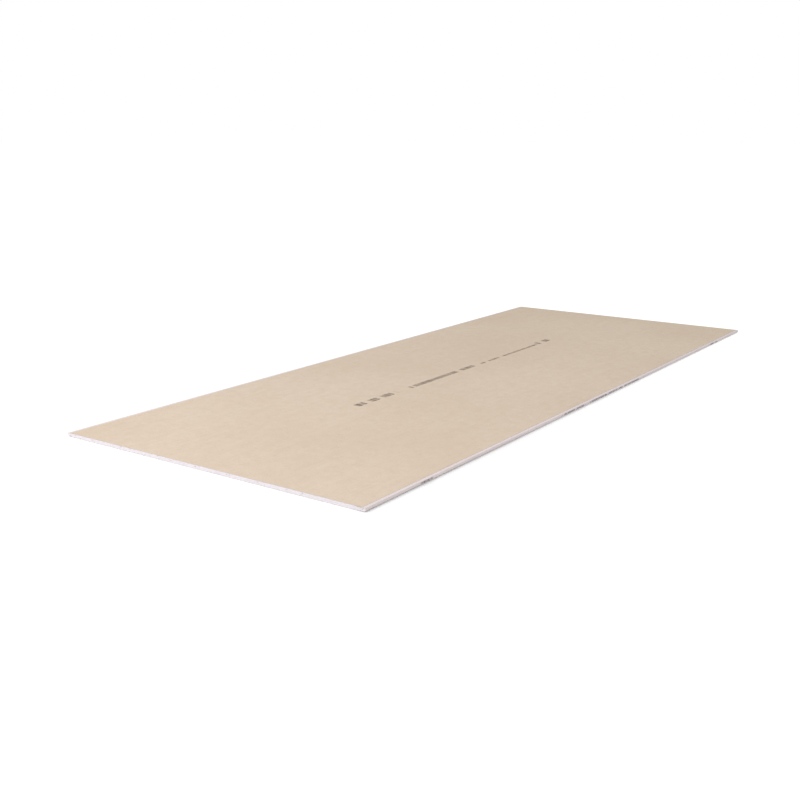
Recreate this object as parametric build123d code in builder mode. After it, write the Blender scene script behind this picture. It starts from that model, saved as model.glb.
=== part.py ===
"""Drywall sheet: a gypsum core in paper liners, with tapered half-round long edges and square-cut ends.

Millimetres. The sheet lies on its face with the back liner up. +X runs along its length, +Y across its
width, +Z up through its thickness, and the origin is on the floor under the middle of the sheet.
"""
import os

from build123d import *

os.makedirs("parts", exist_ok=True)

# The sheet as it is sold
sheet_length = 3000.0
sheet_width = 1200.0
sheet_thickness = 12.5

# On the face side the sheet thins towards both long edges, so that a taped and filled joint lies flush
taper_width = 48.0
taper_depth = 1.6

# The face liner wraps each long edge: a half-round nose below, a tight fold where it meets the back
nose_radius = 0.48 * sheet_thickness
fold_radius = 0.10 * sheet_thickness

half_width = sheet_width / 2
taper_start = half_width - taper_width

with BuildPart() as drywall_sheet:
    # Section across the sheet, the same along its whole length
    with BuildSketch(Plane.YZ) as section:
        with BuildLine() as outline:
            Polyline(
                (-half_width, sheet_thickness),
                (half_width, sheet_thickness),
                (half_width, taper_depth),
                (taper_start, 0),
                (-taper_start, 0),
                (-half_width, taper_depth),
                close=True,
            )
        make_face()
        edge_corners = section.vertices().filter_by(lambda corner: abs(corner.X) > taper_start + taper_width / 2)
        fillet(edge_corners.group_by(Axis.Y)[0], radius=nose_radius)
        fillet(section.vertices().group_by(Axis.Y)[-1], radius=fold_radius)
    extrude(amount=sheet_length / 2, both=True)

drywall_sheet.part.label = "drywall_sheet"
export_step(drywall_sheet.part, "parts/drywall_sheet.step")
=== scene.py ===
"""Drywall sheet: the back liner, the face liner wrapped round the long edges, and the cut gypsum core.

Shapes are worked out in millimetres and become metres in the mesh. +X runs along the sheet, +Y across it
and +Z up through its thickness, from the face that it lies on to its back.
"""
import math

import bpy
import numpy as np
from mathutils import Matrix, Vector


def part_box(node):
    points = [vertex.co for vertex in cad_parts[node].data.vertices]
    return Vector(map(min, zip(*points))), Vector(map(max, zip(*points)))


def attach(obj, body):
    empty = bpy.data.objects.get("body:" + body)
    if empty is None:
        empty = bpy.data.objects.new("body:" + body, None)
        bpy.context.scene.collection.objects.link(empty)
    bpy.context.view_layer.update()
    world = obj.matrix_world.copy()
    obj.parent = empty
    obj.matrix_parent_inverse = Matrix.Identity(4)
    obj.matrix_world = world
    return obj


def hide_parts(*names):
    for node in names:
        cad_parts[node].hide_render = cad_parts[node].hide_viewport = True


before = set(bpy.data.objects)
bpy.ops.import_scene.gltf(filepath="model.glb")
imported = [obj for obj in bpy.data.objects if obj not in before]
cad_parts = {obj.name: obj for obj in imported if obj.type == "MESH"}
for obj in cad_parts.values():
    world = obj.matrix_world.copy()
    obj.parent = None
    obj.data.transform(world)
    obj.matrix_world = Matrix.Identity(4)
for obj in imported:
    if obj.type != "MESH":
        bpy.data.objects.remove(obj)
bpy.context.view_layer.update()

MM = 0.001
HALF_LENGTH, HALF_WIDTH, THICKNESS = np.array(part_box("drywall_sheet")[1]) / MM

# Long edges: taper on the face side, half-round nose with its middle at NOSE_Z, tight fold on the back side
TAPER_WIDTH = 48.0
TAPER_DEPTH = 1.6
TAPER_SLOPE = TAPER_DEPTH / TAPER_WIDTH
NOSE_RADIUS = 0.48 * THICKNESS
NOSE_Z = TAPER_DEPTH + NOSE_RADIUS * (math.hypot(1, TAPER_SLOPE) - TAPER_SLOPE)
FOLD_RADIUS = 1.0

# Paper, glue line, both together, the flap of face liner folded over the back, and the part of it left bare
PAPER = 0.4
GLUE = 0.02
CORE_INSET = PAPER + GLUE
FLAP = 34.0
BARE_FLAP = 11.0

# Folding round wet gypsum drew the long edges in: how far, over what reach, and how far from the ends
EDGE_SWAY = 0.25
EDGE_REACH = 20.0
SWAY_FROM_END = 375.0

# Back liner: its cockle and the distances from the ends and flaps over which that grows, slit edges, fray
COCKLE = 0.18
COCKLE_FROM_END = 150.0
COCKLE_FROM_FLAP = 60.0
SLIT_WANDER = 0.6
FRAY = 0.35

# How far handling pushed in each upright corner: at -X and at +X, on the -Y side and on the +Y side
CORNER_WEAR = np.array([[0.3, 0.6], [0.5, 0.8]])
CORNER_REACH = 14.0

# Gypsum at the cut ends: how far it lies behind the paper's edge, its grain and its cutter marks
CORE_RECESS = 0.3
CORE_GRAIN = 0.22
CUTTER_MARK = 0.10

# Open pores in a cut end: number, range of radius, depth as a share of it, distance from the outside
PORES = 90
PORE_RADIUS = (1.0, 2.5)
PORE_DEPTH = 0.8
PORE_MARGIN = 1.5

# The core's step down under a flap is twice this wide
FLAP_STEP = 0.1

# How far the core lies clear of the paper between its ends, and how far behind the cut this starts
CORE_CLEARANCE = 0.4
CORE_HIDDEN = 4.0

# Spacing of the mesh: along the two liners, closer in the end zones, across the back, and on the cut gypsum
FACE_PITCH = 22.0
BACK_PITCH = 90.0
END_ZONE = 60.0
END_POINTS = 9
BACK_COLUMN = 2.0
CORE_PITCH = 0.62
NOSE_COLUMNS = 13

# Edges sharper than this aren't smoothed
SHARP_ANGLE = math.radians(35)

# The map that finishes are baked on: its margin, and in a band of paper the outer line, inner line and ends
MAP_MARGIN = 0.01
OUTER_ROOM = 0.94
INNER_ROOM = (0.96, 0.99)
END_COLUMN = (-0.002, -0.006)

# Room on the map for wrapped edges, as a multiple of the flat face's, and for a cut end, laid out in strips
WRAPPED_ROOM = 4
END_STRIPS = 7
STRIP_ROOM = (0.05, 0.95)

# Plain ink strokes: base line in Y on the back, in Z on the edge, and words as middle, half length, height
BACK_BASE = 30.0
BACK_WORDS = ((-635, 65, 30), (-500, 45, 30), (-140, 230, 24), (385, 245, 14), (700, 55, 30))
EDGE_BASE = 4.0
EDGE_WORDS = ((-1215, 31, 6.5), (-291, 92, 6.5), (60, 224, 6.5), (1148, 50, 6.5))

# Span that holds most of a noise's values, and the span of a fibre to each side of its contour
NOISE_SPAN = {"From Min": 0.3, "From Max": 0.7}
FIBRE_SPAN = 0.012

# Studio, in metres. Floor: half width, drop below the sheet, and its own light, which grows over a distance
FLOOR_HALF = 60.0
FLOOR_DROP = 0.0002
FLOOR_LIGHT = (0.13, 0.42)
FLOOR_FADE = (0.4, 3.0)

# Strength of the world's light on the sheet, and the lamp's place, aim, sides and watts
WORLD_LIGHT = 0.70
LAMP_PLACE = (-3.4, 0.7, 3.0)
LAMP_AIM = (0.2, 0, 0)
LAMP_SIDES = (3.0, 2.0)
LAMP_WATTS = 65

# Camera: place, heading from +X towards +Y and dip below level in degrees, lens and sensor in millimetres
CAMERA_PLACE = (-3.521, -2.134, 0.961)
CAMERA_HEADING = 35.2
CAMERA_DIP = 14.6
LENS = 47.0
SENSOR = 36.0

# Random draws start from this
SEED = 7


# Shapes

def ripple(u, v, seed, waves, shortest, longest):
    """A smooth random field from 0 to 1: a sum of plane waves with seeded headings and phases, each as high
    as the square root of its length, scaled so that three spreads each way fill 0 to 1, and cut there."""
    draw = np.random.default_rng(SEED + seed)
    length = shortest * (longest / shortest) ** draw.random(waves)
    heading = draw.random(waves) * 2 * np.pi
    phase = draw.random(waves) * 2 * np.pi
    height = np.sqrt(length / longest)
    total = np.zeros(np.broadcast(u, v).shape)
    for wave, turn, start, rise in zip(2 * np.pi / length, heading, phase, height):
        total += rise * np.sin(wave * (u * np.cos(turn) + v * np.sin(turn)) + start)
    return np.clip(0.5 + total / (3 * np.sqrt(2 * np.sum(height ** 2))), 0, 1)


def face_line(depth):
    """The face liner's line round the section, `depth` mm inside its outer surface, from flap to flap.

    On each side it runs along the flap, a quarter circle of the fold radius, down the upright edge, round
    the nose, a circle that touches the edge and the taper, along the taper, and to the middle of the face.
    A stretch goes in even steps from one place, radius and heading of the surface to another, and a point
    lies its radius less `depth` from its place, along its heading.
    """
    up, out, down = np.pi / 2, 0.0, -np.pi / 2
    slant = down + math.atan(TAPER_SLOPE)
    flap_z = THICKNESS - PAPER
    fold_y = HALF_WIDTH - FOLD_RADIUS
    fold_z = flap_z - FOLD_RADIUS
    nose_y = HALF_WIDTH - NOSE_RADIUS
    touch_y = nose_y + NOSE_RADIUS * math.cos(slant)
    touch_z = NOSE_Z + NOSE_RADIUS * math.sin(slant)
    taper_y = HALF_WIDTH - TAPER_WIDTH
    stretches = (
        ((HALF_WIDTH - FLAP, flap_z, 0, up), (fold_y, flap_z, 0, up), 8),
        ((fold_y, fold_z, FOLD_RADIUS, up), (fold_y, fold_z, FOLD_RADIUS, out), 6),
        ((HALF_WIDTH, fold_z, 0, out), (HALF_WIDTH, NOSE_Z, 0, out), 4),
        ((nose_y, NOSE_Z, NOSE_RADIUS, out), (nose_y, NOSE_Z, NOSE_RADIUS, slant), 14),
        ((touch_y, touch_z, 0, slant), (taper_y, 0, 0, slant), 8),
        ((taper_y, 0, 0, down), (0, 0, 0, down), 23),
    )
    rows = [np.linspace(start, stop, steps, endpoint=False) for start, stop, steps in stretches]
    place_y, place_z, radius, heading = np.concatenate(rows).T
    y = place_y + (radius - depth) * np.cos(heading)
    z = place_z + (radius - depth) * np.sin(heading)
    return np.concatenate([y, [0], -y[::-1]]), np.concatenate([z, [depth], z[::-1]])


def both_sides(half):
    """A row of places that starts at 0, with its mirror image before it."""
    return np.concatenate([-half[:0:-1], half])


def stations(pitch):
    """Places along the length: every `pitch` mm, and in the end zones at distances from the end that shrink
    as the squares of even steps."""
    near_end = HALF_LENGTH - END_ZONE * np.linspace(1, 0, END_POINTS) ** 2
    middle = np.linspace(0, near_end[0], round(near_end[0] / pitch), endpoint=False)
    return both_sides(np.concatenate([middle, near_end]))


def handled(points):
    """Wear from handling: near an upright corner of the sheet, points are pushed in along both sides by the
    corner's wear times the square of their nearness, which falls from 1 to 0 over the corner's reach."""
    x, y = points[..., 0], points[..., 1]
    away = np.hypot(HALF_LENGTH - np.abs(x), HALF_WIDTH - np.abs(y))
    wear = CORNER_WEAR[(x > 0).astype(int), (y > 0).astype(int)]
    push = wear * np.clip(1 - away / CORNER_REACH, 0, 1) ** 2
    points[..., 0] -= np.sign(x) * push
    points[..., 1] -= np.sign(y) * push
    return points


def ring_quads(loops):
    """Quads between closed loops of vertex numbers, one loop a row, each joined to the next."""
    turned = np.roll(loops, -1, axis=1)
    return np.stack([loops[:-1], loops[1:], turned[1:], turned[:-1]], -1).reshape(-1, 4)


def in_margin(spots):
    """Places from 0 to 1, moved inside the margin of the bake's map."""
    return MAP_MARGIN + (1 - 2 * MAP_MARGIN) * spots


def piece(name, points, quads, spots, material):
    """Puts points in millimetres, quads and the places of their corners on the bake's map into a new object
    at the origin, smooth but for its sharp edges, with the given material as its finish."""
    mesh = bpy.data.meshes.new(name)
    mesh.vertices.add(len(points))
    mesh.vertices.foreach_set("co", (points * MM).astype(np.float32).ravel())
    mesh.loops.add(quads.size)
    mesh.loops.foreach_set("vertex_index", quads.astype(np.int32).ravel())
    mesh.polygons.add(len(quads))
    mesh.polygons.foreach_set("loop_start", np.arange(0, quads.size, 4, dtype=np.int32))
    mesh.polygons.foreach_set("use_smooth", np.ones(len(quads), bool))
    mesh.update(calc_edges=True)
    mesh.uv_layers.new(name="OFBake").uv.foreach_set("vector", spots.astype(np.float32).ravel())
    mesh.validate()
    mesh.set_sharp_from_angle(angle=SHARP_ANGLE)
    mesh.materials.append(material)
    made = bpy.data.objects.new(name, mesh)
    bpy.context.scene.collection.objects.link(made)
    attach(made, "root")
    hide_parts("drywall_sheet")
    return made


def mark(made, name, domain, values):
    """Gives a piece a number at each of its points or faces, which its material reads by name."""
    numbers = made.data.attributes.new(name, "FLOAT", domain)
    numbers.data.foreach_set("value", values.astype(np.float32).ravel())


def strip_map(x, share):
    """Places on the bake's map of a paper strip's quads, in the order in which paper_strip makes them.

    Each half of the length is a band, with the place along it as u. Across the band the outer line lies by
    `share`, from 0 to 1, the hidden inner line is squeezed in beside it, and a cut end is a thin column.
    """
    along = x / HALF_LENGTH
    second = along[:-1] >= 0
    begin, end = along[:-1] + ~second, along[1:] + ~second
    across = np.concatenate([OUTER_ROOM * share, np.linspace(*INNER_ROOM, len(share)), [1.0]])
    u = np.stack([begin, end, end, begin], -1)[:, None]
    v = np.stack([across[:-1], across[:-1], across[1:], across[1:]], -1)
    sides = np.stack(np.broadcast_arrays(u, (second[:, None, None] + v) / 2), -1).reshape(-1, 4, 2)
    cap_v = v[:len(share) - 1][:, [0, 2, 2, 0]]
    cap_u = np.broadcast_to(np.repeat(END_COLUMN, 2), cap_v.shape)
    first_cap = np.stack([cap_u, cap_v / 2], -1)
    last_cap = np.stack([1 - cap_u, (1 + cap_v) / 2], -1)[:, ::-1]
    return in_margin(np.concatenate([sides, first_cap, last_cap]))


def paper_strip(name, x, outer, inner, share, material):
    """A strip of paper. At each station the outer line and, backwards, the inner line make one ring, the
    rings are joined along the length, and both ends are closed between the two lines. The slit and cut
    edges, where the two lines meet and at the ends, are marked."""
    rings = np.concatenate([outer, inner[:, ::-1]], axis=1)
    count, size = rings.shape[:2]
    k = np.arange(size // 2 - 1)
    cap = np.stack([k, k + 1, size - 2 - k, size - 1 - k], -1)
    sides = ring_quads(np.arange(count * size).reshape(count, size))
    quads = np.concatenate([sides, cap, cap[:, ::-1] + (count - 1) * size])
    strip = piece(name, rings.reshape(-1, 3), quads, strip_map(x, share), material)
    slit = np.isin(np.arange(size), [size // 2 - 1, size - 1])
    mark(strip, "cut_edge", "FACE", np.concatenate([np.tile(slit, count - 1), np.ones(2 * len(cap))]))


def face_liner():
    """The face liner: its line round the section carried along the sheet, with the wrapped edges pulled in
    by long soft waves, which die out towards the ends. On the map the wrapped edges get more room than the
    flat face."""
    x = stations(FACE_PITCH)[:, None]
    from_end = np.clip((HALF_LENGTH - np.abs(x)) / SWAY_FROM_END, 0, 1)
    sides = []
    for depth in (0.0, PAPER):
        y, z = face_line(depth)
        side = np.sign(y)
        sway = EDGE_SWAY * ripple(x, side * HALF_WIDTH, seed=1, waves=24, shortest=120, longest=900)
        near_edge = np.clip(1 - (HALF_WIDTH - np.abs(y)) / EDGE_REACH, 0, 1)
        pulled = y - side * sway * from_end * near_edge
        sides.append(handled(np.stack(np.broadcast_arrays(x, pulled, z), -1)))
    y, z = face_line(0.0)
    wrapped = np.abs(y[1:] + y[:-1]) / 2 > HALF_WIDTH - TAPER_WIDTH
    room = np.cumsum(np.hypot(np.diff(y), np.diff(z)) * np.where(wrapped, WRAPPED_ROOM, 1))
    share = np.concatenate([[0], room]) / room[-1]
    paper_strip("face_liner", x[:, 0], *sides, share, face_paper())


def back_liner():
    """The back liner: a flat strip from flap to flap. It cockles in the middle, its two long edges wander
    where the paper was slit, and its cut ends fray back."""
    x = stations(BACK_PITCH)[:, None]
    half_strip = HALF_WIDTH - BARE_FLAP
    share = np.linspace(0, 1, round(2 * half_strip / BACK_COLUMN) + 1)
    place = 2 * share - 1
    slit_y = np.sign(place) * half_strip
    wander = SLIT_WANDER * ripple(x, slit_y, seed=2, waves=20, shortest=150, longest=1400)
    across = place * (half_strip - wander)
    from_flap = np.clip((HALF_WIDTH - FLAP - np.abs(across)) / COCKLE_FROM_FLAP, 0, 1)
    from_end = np.clip((HALF_LENGTH - np.abs(x)) / COCKLE_FROM_END, 0, 1) ** 2
    waves = ripple(x, across, seed=3, waves=30, shortest=260, longest=1300)
    cockle = COCKLE * waves * from_flap * from_end
    fray = FRAY * ripple(across, 0 * x, seed=4, waves=60, shortest=3, longest=40)
    along = np.where(np.abs(x) == HALF_LENGTH, x - np.sign(x) * fray, x)
    sides = [
        handled(np.stack(np.broadcast_arrays(along, across, THICKNESS - depth - cockle), -1))
        for depth in (0.0, PAPER - GLUE)
    ]
    paper_strip("back_liner", x[:, 0], *sides, share, back_paper())


def core_bounds(y):
    """Lowest and highest point of the core at each place across the sheet: a glue line inside the face
    liner's inner line, and under the flaps lower by one paper than under the back liner."""
    side = np.abs(y)
    taper = TAPER_DEPTH - TAPER_SLOPE * (HALF_WIDTH - side) + CORE_INSET * math.hypot(1, TAPER_SLOPE)
    nose_in = np.clip(side - HALF_WIDTH + NOSE_RADIUS, 0, NOSE_RADIUS - CORE_INSET)
    nose = NOSE_Z - np.sqrt((NOSE_RADIUS - CORE_INSET) ** 2 - nose_in ** 2)
    low = np.maximum(np.maximum(taper, CORE_INSET), np.where(nose_in > 0, nose, 0))
    fold_in = np.clip(side - HALF_WIDTH + FOLD_RADIUS, 0, FOLD_RADIUS - CORE_INSET)
    fold = THICKNESS - PAPER - FOLD_RADIUS + np.sqrt((FOLD_RADIUS - CORE_INSET) ** 2 - fold_in ** 2)
    under_flap = np.where(fold_in > 0, fold, THICKNESS - PAPER - CORE_INSET)
    high = np.where(side > HALF_WIDTH - FLAP - CORE_INSET, under_flap, THICKNESS - CORE_INSET)
    return low, high


def cut_gypsum(y, z, end):
    """How far a cut end lies behind the paper's edge, and how hollow it is from 0 to 1: a grainy field,
    faint upright cutter marks, and pores, each a bowl that is shallower by the square of the distance from
    its middle. Small pores are the most common: their radius grows with the cube of an even draw."""
    draw = np.random.default_rng(SEED + 20 + end)
    grain = CORE_GRAIN * ripple(y, 4 * z, seed=30 + end, waves=60, shortest=2.5, longest=22)
    marks = CUTTER_MARK * ripple(y, 0 * z, seed=40 + end, waves=40, shortest=4, longest=30)
    at_y = draw.uniform(PORE_MARGIN - HALF_WIDTH, HALF_WIDTH - PORE_MARGIN, PORES)
    at_z = draw.uniform(PORE_MARGIN, THICKNESS - PORE_MARGIN, PORES)
    radius = np.interp(draw.random(PORES) ** 3, (0, 1), PORE_RADIUS)
    depth = np.zeros(y.shape)
    hollow = np.zeros(y.shape)
    for pore_y, pore_z, r in zip(at_y, at_z, radius):
        near = np.clip(1 - ((y - pore_y) ** 2 + (z - pore_z) ** 2) / (r * r), 0, 1)
        depth = np.maximum(depth, PORE_DEPTH * r * near)
        hollow = np.maximum(hollow, near)
    return CORE_RECESS + grain + marks + depth, hollow


def core_map(y, rise, rim_size):
    """Places on the bake's map of the core's quads: each cut end as strips of its width, one above the
    other, and the three hidden bands between the ends in one more row."""
    cells = len(y) - 1
    wide = math.ceil(cells / END_STRIPS)
    strip = np.arange(cells) // wide
    edges = y[np.minimum(np.arange(END_STRIPS + 1) * wide, cells)]
    left, right = ((side - edges[strip]) / np.max(np.diff(edges)) for side in (y[:-1], y[1:]))
    height = np.interp(rise, (0, 1), STRIP_ROOM)
    u = np.stack([left, right, right, left], -1)[:, None]
    v = strip[:, None, None] + np.stack([height[:-1], height[:-1], height[1:], height[1:]], -1)
    end = np.stack(np.broadcast_arrays(u, v), -1).reshape(-1, 4, 2)
    hidden_u = (np.arange(rim_size)[:, None] + [0, 0, 1, 1]) / rim_size
    hidden_v = 2 * END_STRIPS + (np.arange(3)[:, None, None] + [0, 1, 1, 0]) / 3
    hidden = np.stack(np.broadcast_arrays(hidden_u, hidden_v), -1).reshape(-1, 4, 2)
    spots = np.concatenate([end[:, ::-1], end + (0, END_STRIPS), hidden])
    return in_margin(spots / (1, 2 * END_STRIPS + 1))


def core_columns():
    """Places across the core: even columns under the back liner and under each flap, with the narrow step
    down between them, and on the nose the sines of even turns of its circle."""
    step_y = HALF_WIDTH - FLAP - CORE_INSET
    nose_turn = np.linspace(0, np.pi / 2, NOSE_COLUMNS)
    nose_y = HALF_WIDTH - NOSE_RADIUS + (NOSE_RADIUS - CORE_INSET) * np.sin(nose_turn)
    return both_sides(np.concatenate([
        np.linspace(0, step_y - FLAP_STEP, round(step_y / CORE_PITCH)),
        np.linspace(step_y + FLAP_STEP, nose_y[0], round((FLAP - NOSE_RADIUS) / CORE_PITCH), endpoint=False),
        nose_y,
    ]))


def gypsum_core():
    """The core: a fine grid of columns on each cut end, pitted by cut_gypsum, with the rims of both ends
    joined by three straight bands that lie clear of the paper between the ends."""
    across = core_columns()
    rise = np.linspace(0, 1, round(THICKNESS / CORE_PITCH))
    low, high = core_bounds(across[:, None])
    z = low + (high - low) * rise
    y = np.broadcast_to(across[:, None], z.shape)

    index = np.arange(z.size).reshape(z.shape)
    rim = np.concatenate([index[:, -1], index[-1, -2::-1], index[-2::-1, 0], index[0, 1:-1]])
    ends, bands, hollows = [], [], []
    for end, sign in enumerate((-1, 1)):
        behind, hollow = cut_gypsum(y, z, end)
        cut = handled(np.stack([sign * (HALF_LENGTH - behind), y, z], -1)).reshape(-1, 3)
        band = cut[rim]
        inward = np.array([0, 0, THICKNESS / 2]) - band
        band += np.sign(inward) * np.minimum(np.abs(inward), CORE_CLEARANCE)
        band[:, 0] = sign * (HALF_LENGTH - CORE_HIDDEN)
        ends.append(cut)
        bands.append(band)
        hollows.append(hollow.ravel())
    size = len(rim)
    hidden = 2 * z.size + np.arange(2 * size).reshape(2, size)
    cell = np.stack([index[:-1, :-1], index[1:, :-1], index[1:, 1:], index[:-1, 1:]], -1).reshape(-1, 4)
    loops = np.stack([rim, hidden[0], hidden[1], z.size + rim])
    quads = np.concatenate([cell[:, ::-1], cell + z.size, ring_quads(loops)])
    spots = core_map(across, rise, size)
    core = piece("gypsum_core", np.concatenate(ends + bands), quads, spots, cut_plaster())
    # The material darkens the pores by how hollow they are, as painted shade
    mark(core, "hollow", "POINT", np.concatenate(hollows + [np.zeros(2 * size)]))


# Materials

def colour(code):
    """An sRGB hex code as linear RGBA: a channel c up to 0.04045 is divided by 12.92, and above that it is
    ((c + 0.055) / 1.055) ** 2.4."""
    channels = np.array([int(code[i:i + 2], 16) for i in (1, 3, 5)]) / 255
    linear = np.where(channels <= 0.04045, channels / 12.92, ((channels + 0.055) / 1.055) ** 2.4)
    return (*linear.tolist(), 1.0)


def add(tree, kind, links=None, **settings):
    """Adds one node. Settings are its properties. Links gives inputs, by name or number, a value, the output
    of another node, or another node, which stands for its first output in use."""
    made = tree.nodes.new("ShaderNode" + kind)
    for name, value in settings.items():
        setattr(made, name, value)
    for key, value in (links or {}).items():
        named = [socket for socket in made.inputs if socket.enabled and socket.name == key]
        socket = named[0] if named else made.inputs[key]
        if isinstance(value, bpy.types.Node):
            value = next(output for output in value.outputs if output.enabled)
        if isinstance(value, bpy.types.NodeSocket):
            tree.links.new(value, socket)
        else:
            socket.default_value = value
    return made


def new_material(name):
    """An empty node material and its tree."""
    material = bpy.data.materials.new(name)
    material.use_nodes = True
    material.node_tree.nodes.clear()
    return material, material.node_tree


def fibres(tree, fields, line, side, limit):
    """Short curled fibres, 1 on a fibre and 0 elsewhere: the middle contour of one of the pulp's fields of
    noise, kept where the third field lies on one side of a limit."""
    contour = add(tree, "Math", {0: fields.outputs[line], 1: 0.5, 2: FIBRE_SPAN}, operation="COMPARE")
    patch = add(tree, "Math", {0: fields.outputs[2], 1: limit}, operation=side)
    return add(tree, "Math", {0: contour, 1: patch}, operation="MULTIPLY")


def ink_strokes(tree, pulp, upwards, base, words, bleed, stroke, run):
    """A row of plain upright ink strokes along the sheet, 1 on ink and 0 elsewhere, with lengths in mm. They
    stand on a base line and go up along one axis. Each word is a middle, a half length and a height. A noise
    of one stroke's length is cut to uneven strokes, and one of a longer run leaves gaps between them. The
    pulp's noise moves the strokes' outline by the bleed."""
    place = add(tree, "TexCoord").outputs["Object"]
    bled = add(tree, "VectorMath", {
        0: pulp.outputs["Color"], 1: (bleed * MM,) * 3, 2: place,
    }, operation="MULTIPLY_ADD")
    axes = add(tree, "SeparateXYZ", {"Vector": bled})
    along = axes.outputs["X"]
    up = add(tree, "Math", {0: axes.outputs[upwards], 1: base * MM}, operation="SUBTRACT")
    height = 0.0
    for middle, half, tall in words:
        pulp_and_edge_shade = add(tree, "Math", {0: along, 1: middle * MM, 2: half * MM}, operation="COMPARE")
        height = add(tree, "Math", {0: pulp_and_edge_shade, 1: tall * MM, 2: height}, operation="MULTIPLY_ADD")
    under = add(tree, "Math", {0: up, 1: height}, operation="LESS_THAN")
    over = add(tree, "Math", {0: up, 1: 0.0}, operation="GREATER_THAN")
    ink = add(tree, "Math", {0: under, 1: over}, operation="MULTIPLY")
    for length, off, on in ((stroke, 0.46, 0.475), (run, 0.37, 0.38)):
        scale = 1 / (length * MM)
        beat = add(tree, "TexNoise", {"W": along, "Scale": scale, "Detail": 0.0}, noise_dimensions="1D")
        part = add(tree, "MapRange", {"Value": beat, "From Min": off, "From Max": on})
        ink = add(tree, "Math", {0: ink, 1: part}, operation="MULTIPLY")
    return ink


def paper_finish(tree, place, clouds, printed, pulp_and_edge_shade, nap, rise, strength, dull, gloss):
    """What both papers end in: on the slit and cut edges the pulp inside the paper, darkened further as
    painted shade, a nap whose width and rise are in mm, and a roughness that follows the clouds from one
    dullness to the other."""
    cut = add(tree, "Attribute", attribute_name="cut_edge").outputs["Fac"]
    # Cut edges take the pulp's colour, made darker than it is as painted shade
    final = add(tree, "Mix", {"Factor": cut, "A": printed, "B": colour(pulp_and_edge_shade)}, data_type="RGBA")
    fluff = add(tree, "TexNoise", {"Vector": place, "Scale": 1 / (nap * MM), "Detail": 2.0})
    bump = add(tree, "Bump", {"Strength": strength, "Distance": rise * MM, "Height": fluff})
    rough = add(tree, "MapRange", {"Value": clouds, **NOISE_SPAN, "To Min": dull[0], "To Max": dull[1]})
    shader = add(tree, "BsdfPrincipled", {
        "Base Color": final, "Roughness": rough, "IOR": 1.45, "Specular IOR Level": gloss, "Normal": bump,
    })
    add(tree, "OutputMaterial", {"Surface": shader})


def brown_ground(tree, place, clouds):
    """The back liner's ground: a tone that drifts over 700 mm, the clouds of thicker pulp, and machine lines
    6 mm wide and 500 mm long, which are drawn as coarse as they need to show."""
    drift = add(tree, "TexNoise", {"Vector": place, "Scale": 1 / (700 * MM), "Detail": 1.0})
    drift_part = add(tree, "MapRange", {"Value": drift, "From Min": 0.35, "From Max": 0.65})
    toned = add(tree, "Mix", {
        "Factor": drift_part, "A": colour("#dfcdb9"), "B": colour("#e4d3c0"),
    }, data_type="RGBA")
    cloud_part = add(tree, "MapRange", {"Value": clouds, **NOISE_SPAN, "To Max": 0.40})
    cloudy = add(tree, "Mix", {"Factor": cloud_part, "A": toned, "B": colour("#d4bfa8")}, data_type="RGBA")
    run = add(tree, "Mapping", {"Vector": place, "Scale": (1 / (500 * MM), 1 / (6 * MM), 1.0)})
    lines = add(tree, "TexNoise", {"Vector": run, "Scale": 1.0, "Detail": 2.0})
    line_part = add(tree, "MapRange", {"Value": lines, "From Min": 0.4, "From Max": 0.7, "To Max": 0.16})
    return add(tree, "Mix", {"Factor": line_part, "A": cloudy, "B": colour("#cbb49c")}, data_type="RGBA")


def brown_flecks(tree, place, pulp, ground):
    """The ground with flecks laid on it, first dark and then pale: fibres about 4 mm long, and specks about
    1 mm across. One speck lies in each 8 mm cell, and a third of them are dark and a third pale."""
    fields = add(tree, "SeparateColor", {"Color": pulp.outputs["Color"]})
    cells = add(tree, "TexVoronoi", {"Vector": place, "Scale": 1 / (8 * MM)})
    lot = add(tree, "SeparateColor", {"Color": cells.outputs["Color"]})
    spot = add(tree, "MapRange", {
        "Value": cells, "From Min": 0.04, "From Max": 0.09, "To Min": 1.0, "To Max": 0.0,
    })
    dark = (0, "GREATER_THAN", 0.56, 0.66, 0.36, "#a48d75")
    pale = (1, "LESS_THAN", 0.44, 0.33, 0.40, "#f3eadf")
    flecked = ground
    for line, side, fibre_limit, speck_limit, strength, tint in (dark, pale):
        fibre = fibres(tree, fields, line, side, fibre_limit)
        drawn = add(tree, "Math", {0: lot.outputs[0], 1: speck_limit}, operation=side)
        speck = add(tree, "Math", {0: spot, 1: drawn}, operation="MULTIPLY")
        fleck = add(tree, "Math", {0: fibre, 1: speck}, operation="MAXIMUM")
        part = add(tree, "Math", {0: fleck, 1: strength}, operation="MULTIPLY")
        flecked = add(tree, "Mix", {"Factor": part, "A": flecked, "B": colour(tint)}, data_type="RGBA")
    return flecked


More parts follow.
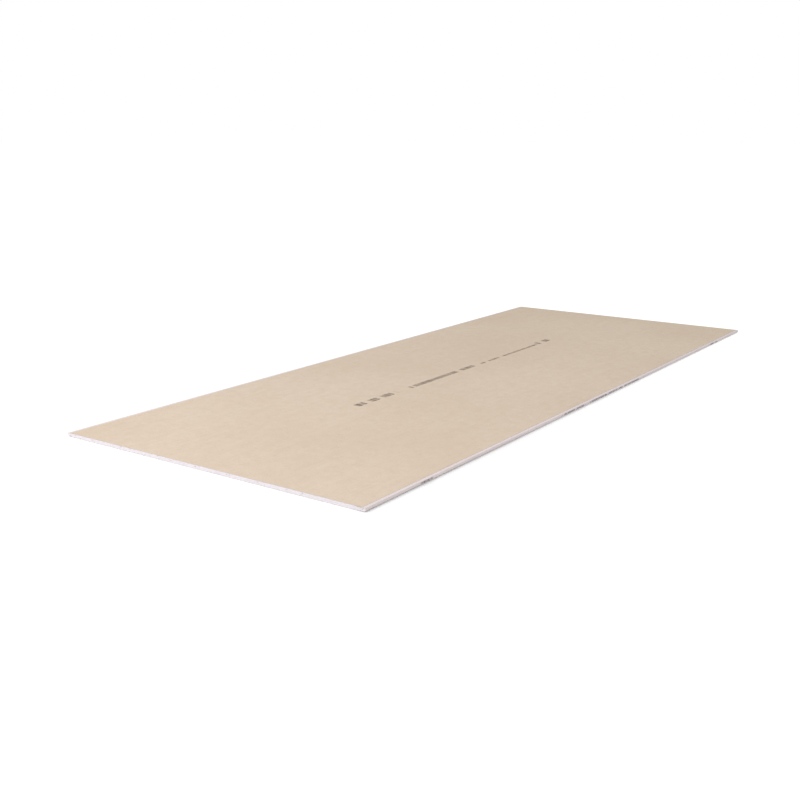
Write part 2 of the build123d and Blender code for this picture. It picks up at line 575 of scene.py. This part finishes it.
def back_paper():
    """Recycled liner board, uncoated and rolled dull. It gives the eye a grey-brown ground that drifts a
    little in tone, small clouds where the pulp lay thicker, faint lines along the machine's run, and short
    curled fibres and specks both darker and paler."""
    material, tree = new_material("recycled_liner_paper_back")
    place = add(tree, "TexCoord").outputs["Object"]

    # Clouds of pulp 30 mm across, and the 5 mm noise whose contours the fibres follow
    clouds = add(tree, "TexNoise", {
        "Vector": place, "Scale": 1 / (30 * MM), "Detail": 5.0, "Roughness": 0.6,
    })
    pulp = add(tree, "TexNoise", {"Vector": place, "Scale": 1 / (5 * MM), "Detail": 1.0})
    ground = brown_ground(tree, place, clouds)
    flecked = brown_flecks(tree, place, pulp, ground)

    # A broken row of plain ink strokes along the middle, thinner where the pulp lay thicker
    printed = ink_strokes(tree, pulp, "Y", BACK_BASE, BACK_WORDS, bleed=0.8, stroke=5.5, run=55)
    patchy = add(tree, "MapRange", {"Value": clouds, **NOISE_SPAN, "To Min": 0.95, "To Max": 0.7})
    ink = add(tree, "Math", {0: printed, 1: patchy}, operation="MULTIPLY")
    inked = add(tree, "Mix", {"Factor": ink, "A": flecked, "B": colour("#594f48")}, data_type="RGBA")

    # Grey-brown pulp inside, darkened on the cut edges as painted shade, and a rolled surface with a soft
    # nap
    paper_finish(
        tree, place, clouds, inked, pulp_and_edge_shade="#a2917f", nap=1.0, rise=0.06, strength=0.35,
        dull=(0.82, 0.92), gloss=0.1,
    )
    return material


def face_paper():
    """Bleached liner board, smooth on its outer side. It gives the eye a pale, slightly pink ground with
    faint clouds and few fibres, and plain ink strokes on one wrapped edge."""
    material, tree = new_material("bleached_liner_paper_face")
    place = add(tree, "TexCoord").outputs["Object"]

    # Clouds 45 mm across, and fibres about 3 mm long on the contours of a 5 mm noise
    clouds = add(tree, "TexNoise", {
        "Vector": place, "Scale": 1 / (45 * MM), "Detail": 4.0, "Roughness": 0.6,
    })
    pulp = add(tree, "TexNoise", {"Vector": place, "Scale": 1 / (5 * MM), "Detail": 1.0})
    fields = add(tree, "SeparateColor", {"Color": pulp.outputs["Color"]})
    fibre = fibres(tree, fields, line=0, side="GREATER_THAN", limit=0.54)
    fibre_part = add(tree, "Math", {0: fibre, 1: 0.16}, operation="MULTIPLY")
    cloud_part = add(tree, "MapRange", {"Value": clouds, **NOISE_SPAN})
    cloudy = add(tree, "Mix", {
        "Factor": cloud_part, "A": colour("#e4d9d9"), "B": colour("#e9dede"),
    }, data_type="RGBA")
    flecked = add(tree, "Mix", {"Factor": fibre_part, "A": cloudy, "B": colour("#bfaead")}, data_type="RGBA")

    # Plain ink strokes in short rows, within 3 mm of the edge at -Y alone
    printed = ink_strokes(tree, pulp, "Z", EDGE_BASE, EDGE_WORDS, bleed=0.4, stroke=2.4, run=24)
    across = add(tree, "SeparateXYZ", {"Vector": place}).outputs["Y"]
    edge = add(tree, "Math", {0: across, 1: -HALF_WIDTH * MM, 2: 3 * MM}, operation="COMPARE")
    inked_edge = add(tree, "Math", {0: printed, 1: edge}, operation="MULTIPLY")
    ink = add(tree, "Math", {0: inked_edge, 1: 0.85}, operation="MULTIPLY")
    inked = add(tree, "Mix", {"Factor": ink, "A": flecked, "B": colour("#534b55")}, data_type="RGBA")

    # Grey pulp under the bleached ply, darkened on the cut edges as painted shade,
    # and a smoother surface with a finer nap
    paper_finish(
        tree, place, clouds, inked, pulp_and_edge_shade="#a89c96", nap=0.8, rise=0.04, strength=0.25,
        dull=(0.68, 0.8), gloss=0.35,
    )
    return material


def cut_plaster():
    """Set gypsum, foamed and sawn across. It gives the eye chalk white with a cool tint, grain, and fine
    bubbles of many sizes. The bubbles and the open pores of the shape are darkened towards their middles
    as painted shade."""
    material, tree = new_material("set_gypsum_cut")
    place = add(tree, "TexCoord").outputs["Object"]

    # Grain 1.2 mm, stains 30 mm
    grain = add(tree, "TexNoise", {
        "Vector": place, "Scale": 1 / (1.2 * MM), "Detail": 3.0, "Roughness": 0.7,
    })
    stains = add(tree, "TexNoise", {"Vector": place, "Scale": 1 / (30 * MM), "Detail": 3.0})
    stain_part = add(tree, "MapRange", {"Value": stains, **NOISE_SPAN})
    grain_part = add(tree, "MapRange", {"Value": grain, "From Min": 0.45, "From Max": 0.8, "To Max": 0.45})
    chalk = add(tree, "Mix", {
        "Factor": stain_part, "A": colour("#ece6ea"), "B": colour("#f3eef2"),
    }, data_type="RGBA")
    grainy = add(tree, "Mix", {"Factor": grain_part, "A": chalk, "B": colour("#d8d0d5")}, data_type="RGBA")

    # Bubbles, one in a 1.8 mm cell: bowls with a radius of 0.4 cells times the fourth power of an even draw
    cells = add(tree, "TexVoronoi", {"Vector": place, "Scale": 1 / (1.8 * MM)})
    lot = add(tree, "SeparateColor", {"Color": cells.outputs["Color"]})
    draw = add(tree, "Math", {0: lot.outputs[0], 1: 4.0}, operation="POWER")
    radius = add(tree, "Math", {0: draw, 1: 0.4}, operation="MULTIPLY")
    out = add(tree, "Math", {0: cells, 1: radius}, operation="DIVIDE", use_clamp=True)
    square = add(tree, "Math", {0: out, 1: out}, operation="MULTIPLY")
    bubble = add(tree, "Math", {0: 1.0, 1: square}, operation="SUBTRACT")
    # Painted shade: bubbles and the shape's open pores are darkened towards their middles
    pore = add(tree, "Attribute", attribute_name="hollow")
    shaded_openings = add(tree, "Math", {0: bubble, 1: pore.outputs["Fac"]}, operation="MAXIMUM")
    painted_pore_shade = add(tree, "Math", {0: shaded_openings, 1: 0.5}, operation="MULTIPLY")
    pore_shaded = add(tree, "Mix", {"Factor": painted_pore_shade, "A": grainy, "B": colour("#9b9094")}, data_type="RGBA")

    # Bubbles are dents up to 0.5 mm deep, four times as deep as the grain
    height = add(tree, "Math", {0: bubble, 1: -4.0, 2: grain}, operation="MULTIPLY_ADD")
    bump = add(tree, "Bump", {"Strength": 0.6, "Distance": 0.12 * MM, "Height": height})
    shader = add(tree, "BsdfPrincipled", {
        "Base Color": pore_shaded, "Roughness": 0.95, "IOR": 1.52, "Specular IOR Level": 0.2, "Normal": bump,
    })
    add(tree, "OutputMaterial", {"Surface": shader})
    return material


# Floor, light and camera

def plain_white(tree, seen, light):
    """A shader input that is `seen` for what the camera, gloss and glass show, and `light` for what lights
    the sheet."""
    rays = add(tree, "LightPath").outputs
    shown = rays["Is Camera Ray"]
    for ray in ("Is Glossy Ray", "Is Transmission Ray"):
        shown = add(tree, "Math", {0: shown, 1: rays[ray]}, operation="MAXIMUM")
    return add(tree, "MapRange", {"Value": shown, "To Min": light, "To Max": seen})


def white_world():
    """An even white world, which lights the sheet from all round."""
    world = bpy.data.worlds.new("white_world")
    world.use_nodes = True
    tree = world.node_tree
    tree.nodes.clear()
    sky = add(tree, "Background", {"Color": (1, 1, 1, 1), "Strength": plain_white(tree, 1.0, WORLD_LIGHT)})
    add(tree, "OutputWorld", {"Surface": sky})
    bpy.context.scene.world = world


def floor_paint():
    """Matte paint that keeps the shadow. Its own light is for what the camera, gloss and glass show. It
    grows away from the near cut end, where the lamp is strongest, so that the floor is white all over."""
    material, tree = new_material("pale_studio_floor")
    matte = add(tree, "BsdfDiffuse", {"Color": colour("#f4f4f4")})
    place = add(tree, "TexCoord").outputs["Object"]
    away = add(tree, "VectorMath", {0: place, 1: (-HALF_LENGTH * MM, 0, 0)}, operation="DISTANCE")
    fade = add(tree, "MapRange", {
        "Value": away, "From Min": FLOOR_FADE[0], "From Max": FLOOR_FADE[1],
        "To Min": FLOOR_LIGHT[0], "To Max": FLOOR_LIGHT[1],
    }, interpolation_type="SMOOTHSTEP")
    lift = add(tree, "Emission", {"Color": (1, 1, 1, 1), "Strength": plain_white(tree, fade, 0.0)})
    both = add(tree, "AddShader", {0: matte, 1: lift})
    add(tree, "OutputMaterial", {"Surface": both})
    return material


def floor():
    """A wide square, just below the sheet so that the two share no plane."""
    sides = ((-1, -1), (1, -1), (1, 1), (-1, 1))
    corners = [(x * FLOOR_HALF, y * FLOOR_HALF, -FLOOR_DROP) for x, y in sides]
    mesh = bpy.data.meshes.new("floor")
    mesh.from_pydata(corners, [], [(0, 1, 2, 3)])
    mesh.materials.append(floor_paint())
    ground = bpy.data.objects.new("floor", mesh)
    bpy.context.scene.collection.objects.link(ground)


def lamp():
    """One soft lamp above and beyond the near cut end, turned to a place just past the sheet's middle."""
    light = bpy.data.lights.new("soft_key", "AREA")
    light.shape = "RECTANGLE"
    light.size, light.size_y = LAMP_SIDES
    light.energy = LAMP_WATTS
    key = bpy.data.objects.new("soft_key", light)
    key.location = LAMP_PLACE
    key.rotation_euler = (Vector(LAMP_AIM) - key.location).to_track_quat("-Z", "Y").to_euler()
    bpy.context.scene.collection.objects.link(key)


def camera():
    """The photograph's viewpoint, about a metre above the floor, turned down to the sheet."""
    data = bpy.data.cameras.new("camera")
    data.sensor_width = SENSOR
    data.lens = LENS
    shot = bpy.data.objects.new("camera", data)
    shot.location = CAMERA_PLACE
    heading, dip = math.radians(CAMERA_HEADING), math.radians(CAMERA_DIP)
    level = math.cos(dip)
    ahead = Vector((level * math.cos(heading), level * math.sin(heading), -math.sin(dip)))
    shot.rotation_euler = ahead.to_track_quat("-Z", "Y").to_euler()
    bpy.context.scene.collection.objects.link(shot)
    bpy.context.scene.camera = shot


# The sheet, and the studio round it

back_liner()
face_liner()
gypsum_core()
white_world()
floor()
lamp()
camera()
bpy.context.scene.view_settings.view_transform = "Standard"
